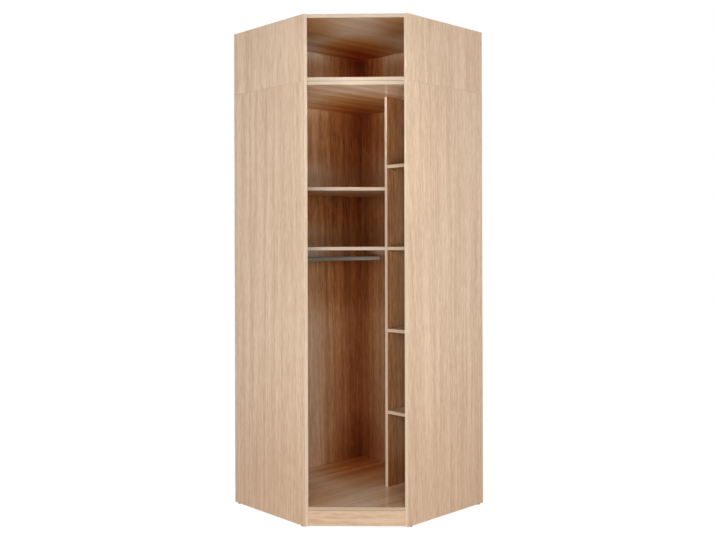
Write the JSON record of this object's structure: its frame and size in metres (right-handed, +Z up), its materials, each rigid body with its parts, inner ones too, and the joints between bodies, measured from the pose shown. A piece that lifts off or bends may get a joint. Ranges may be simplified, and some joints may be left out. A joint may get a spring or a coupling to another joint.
{
  "type": "open corner wardrobe",
  "caption": "Tall open corner wardrobe with a diagonal front: a hanging bay with a rail and wide shelves beside a narrow column of shelves, under a low open top box.",
  "frame": {"origin": "on the floor, at the middle of the square that the two back walls span", "axes": "+Z up. The two back walls lie at -X and +Y and meet in the room's corner at -X +Y. The open diagonal front faces +X -Y."},
  "size_m": [0.88, 0.88, 2.356],
  "materials": {
    "oak_board": "light oak grain foil on chipboard, matt, with matching edging",
    "rail_metal": "slate grey lacquer, satin",
    "pin_steel": "bright zinc plate",
    "beech_dowel": "bare fluted beech",
    "dark_plastic": "moulded, matt"
  },
  "bodies": {
    "root": {"box_dowel_corner": "beech_dowel", "box_dowel_left": "beech_dowel", "box_dowel_right": "beech_dowel", "column_pin_1_left_front": "pin_steel", "column_pin_1_left_rear": "pin_steel", "column_pin_1_right_front": "pin_steel", "column_pin_1_right_rear": "pin_steel", "column_pin_2_left_front": "pin_steel", "column_pin_2_left_rear": "pin_steel", "column_pin_2_right_front": "pin_steel", "column_pin_2_right_rear": "pin_steel", "column_pin_3_left_front": "pin_steel", "column_pin_3_left_rear": "pin_steel", "column_pin_3_right_front": "pin_steel", "column_pin_3_right_rear": "pin_steel", "column_pin_4_left_front": "pin_steel", "column_pin_4_left_rear": "pin_steel", "column_pin_4_right_front": "pin_steel", "column_pin_4_right_rear": "pin_steel", "column_shelf_1": "oak_board", "column_shelf_2": "oak_board", "column_shelf_3": "oak_board", "column_shelf_4": "oak_board", "divider": "oak_board", "floor_support_rail": "oak_board", "glide_corner": "dark_plastic", "glide_left_front": "dark_plastic", "glide_left_rear": "dark_plastic", "glide_right_back": "dark_plastic", "glide_right_front": "dark_plastic", "glide_right_rear": "dark_plastic", "glide_support": "dark_plastic", "hanging_rail": "rail_metal", "lower_floor_board": "oak_board", "lower_left_back": "oak_board", "lower_left_side": "oak_board", "lower_right_back": "oak_board", "lower_right_side": "oak_board", "lower_top_board": "oak_board", "plinth": "oak_board", "rail_plug_left": "dark_plastic", "rail_plug_right": "dark_plastic", "rail_screw_left": "pin_steel", "rail_screw_right": "pin_steel", "top_box_floor": "oak_board", "top_box_left_back": "oak_board", "top_box_left_side": "oak_board", "top_box_right_back": "oak_board", "top_box_right_side": "oak_board", "top_box_roof": "oak_board", "wide_pin_1_divider": "pin_steel", "wide_pin_1_left_back": "pin_steel", "wide_pin_1_right_back": "pin_steel", "wide_pin_1_side": "pin_steel", "wide_pin_2_divider": "pin_steel", "wide_pin_2_left_back": "pin_steel", "wide_pin_2_right_back": "pin_steel", "wide_pin_2_side": "pin_steel", "wide_shelf_1": "oak_board", "wide_shelf_2": "oak_board"}
  },
  "joints": []
}
